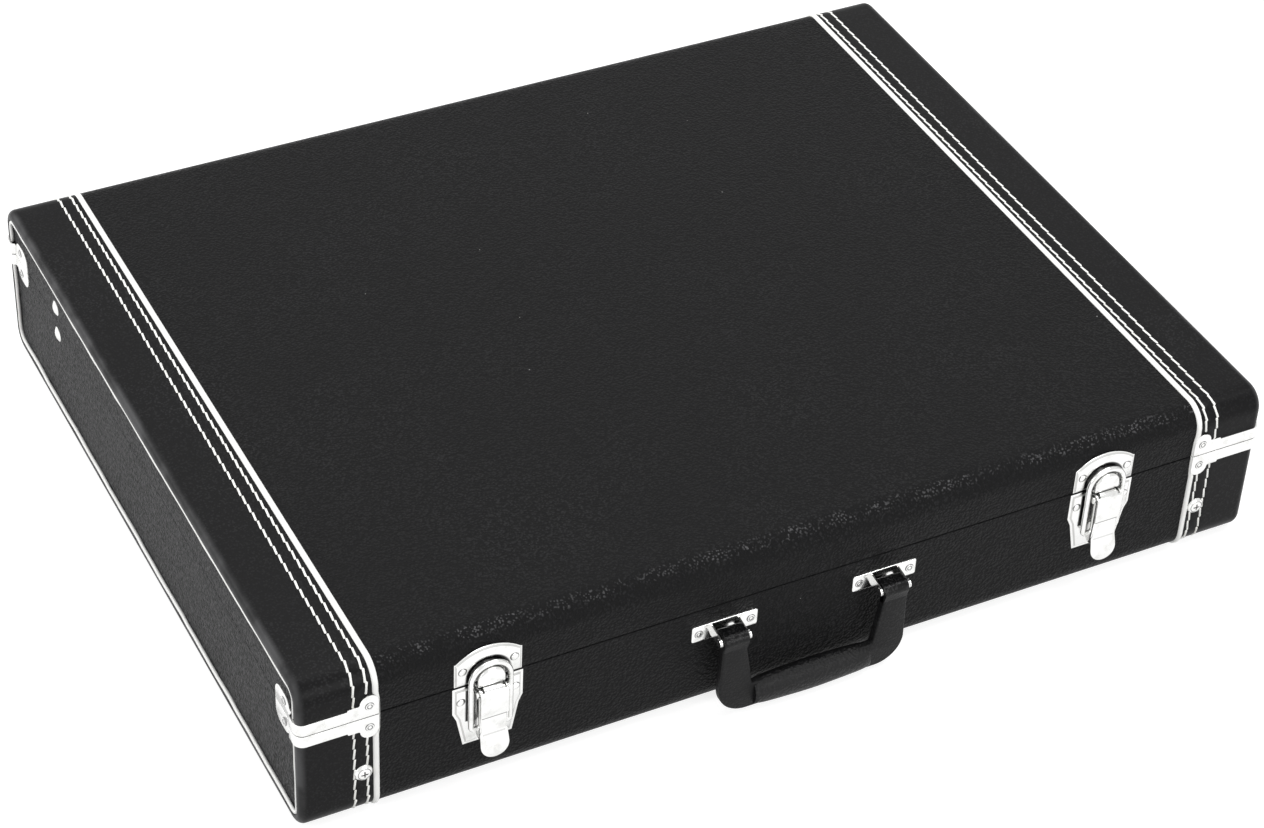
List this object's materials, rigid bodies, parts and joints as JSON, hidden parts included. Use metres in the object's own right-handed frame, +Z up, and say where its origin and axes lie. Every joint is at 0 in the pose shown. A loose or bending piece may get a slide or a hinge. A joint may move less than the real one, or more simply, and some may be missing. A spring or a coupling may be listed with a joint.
{
  "type": "multi-guitar flight case",
  "caption": "Flat hard case that opens into a stand for several guitars, with a hinged lid, draw latches, a carrying handle, lid stays and a padded inside.",
  "frame": {"origin": "middle of the flat underside that the case rests on", "axes": "+X runs to the right along the front with the latches, +Y to the hinged back, +Z up"},
  "size_m": [0.6824, 0.5581, 0.1196],
  "materials": {
    "plywood": "raw birch plywood",
    "grained_cover": "black grained leathercloth",
    "band_cover": "black smooth leathercloth",
    "piping": "white vinyl piping",
    "nickel": "bright nickel plate",
    "stay_steel": "zinc-plated steel",
    "handle_cover": "black stitched leathercloth",
    "plush": "black plush",
    "bottom_cloth": "black leathercloth"
  },
  "bodies": {
    "base": {"base_front_wall": "plywood", "base_back_wall": "plywood", "base_left_wall": "plywood", "base_right_wall": "plywood", "base_floor": "plywood", "bottom_board": "bottom_cloth", "base_cover": "grained_cover", "base_bands": "band_cover", "base_end_panels": "grained_cover", "base_band_piping": "piping", "base_rim_piping": "piping", "base_corner_strips": "nickel", "base_rivets": "nickel", "cup_washers": "nickel", "band_screws": "nickel", "latch_plate_left": "nickel", "latch_plate_right": "nickel", "latch_pins": "nickel", "handle_plate_left": "nickel", "handle_plate_right": "nickel", "handle_pins": "nickel", "hinge_base_leaves": "nickel", "hinge_pins": "nickel", "base_stay_rivets": "nickel", "base_lining": "plush", "floor_pad": "plush", "dividers": "plush"},
    "lid": {"lid_front_wall": "plywood", "lid_back_wall": "plywood", "lid_left_wall": "plywood", "lid_right_wall": "plywood", "lid_top": "plywood", "lid_cover": "grained_cover", "lid_bands": "band_cover", "lid_end_panels": "grained_cover", "lid_band_piping": "piping", "lid_rim_piping": "piping", "lid_corner_strips": "nickel", "lid_rivets": "nickel", "keeper_left": "nickel", "keeper_right": "nickel", "hinge_lid_leaves": "nickel", "lid_stay_rivets": "nickel", "lid_lining": "plush", "neck_rest": "plush", "neck_pads": "plush", "neck_cleat": "plywood"},
    "handle": {"handle_strap": "handle_cover", "handle_grip": "handle_cover"},
    "lever_left": {"latch_lever_left": "nickel"},
    "bail_left": {"latch_bail_left": "nickel"},
    "lower_link_left": {"stay_lower_left": "stay_steel", "stay_stud_left": "stay_steel"},
    "upper_link_left": {"stay_upper_left": "stay_steel"},
    "lever_right": {"latch_lever_right": "nickel"},
    "bail_right": {"latch_bail_right": "nickel"},
    "lower_link_right": {"stay_lower_right": "stay_steel", "stay_stud_right": "stay_steel"},
    "upper_link_right": {"stay_upper_right": "stay_steel"}
  },
  "joints": [
    {"name": "lid_hinge", "type": "hinge", "parent": "base", "child": "lid", "pos_m": [0, 0.2681, 0.082], "axis": [-1, 0, 0], "range_deg": [0, 105]},
    {"name": "handle_swing", "type": "hinge", "parent": "base", "child": "handle", "pos_m": [0, -0.2785, 0.064], "axis": [-1, 0, 0], "range_deg": [-5, 185]},
    {"name": "lever_left_turn", "type": "hinge", "parent": "base", "child": "lever_left", "pos_m": [-0.218, -0.2715, 0.078], "axis": [-1, 0, 0], "range_deg": [0, 110]},
    {"name": "bail_left_turn", "type": "hinge", "parent": "lever_left", "child": "bail_left", "pos_m": [-0.218, -0.2695, 0.048], "axis": [-1, 0, 0], "range_deg": [-110, 0]},
    {"name": "lower_link_left_turn", "type": "hinge", "parent": "base", "child": "lower_link_left", "pos_m": [-0.322, 0.1692, 0.071], "axis": [-1, 0, 0], "range_deg": [0, 120.72]},
    {"name": "upper_link_left_turn", "type": "hinge", "parent": "lid", "child": "upper_link_left", "pos_m": [-0.3244, 0.1692, 0.093], "axis": [-1, 0, 0], "range_deg": [-120.72, 0]},
    {"name": "lever_right_turn", "type": "hinge", "parent": "base", "child": "lever_right", "pos_m": [0.218, -0.2715, 0.078], "axis": [-1, 0, 0], "range_deg": [0, 110]},
    {"name": "bail_right_turn", "type": "hinge", "parent": "lever_right", "child": "bail_right", "pos_m": [0.218, -0.2695, 0.048], "axis": [-1, 0, 0], "range_deg": [-110, 0]},
    {"name": "lower_link_right_turn", "type": "hinge", "parent": "base", "child": "lower_link_right", "pos_m": [0.322, 0.1692, 0.071], "axis": [-1, 0, 0], "range_deg": [0, 120.72]},
    {"name": "upper_link_right_turn", "type": "hinge", "parent": "lid", "child": "upper_link_right", "pos_m": [0.3244, 0.1692, 0.093], "axis": [-1, 0, 0], "range_deg": [-120.72, 0]}
  ],
  "couplings": [
    {"joint": "bail_left_turn", "follows": "lever_left_turn", "ratio": -1},
    {"joint": "lower_link_left_turn", "follows": "lid_hinge", "ratio": 1.1497},
    {"joint": "upper_link_left_turn", "follows": "lid_hinge", "ratio": -1.1497},
    {"joint": "bail_right_turn", "follows": "lever_right_turn", "ratio": -1},
    {"joint": "lower_link_right_turn", "follows": "lid_hinge", "ratio": 1.1497},
    {"joint": "upper_link_right_turn", "follows": "lid_hinge", "ratio": -1.1497}
  ]
}
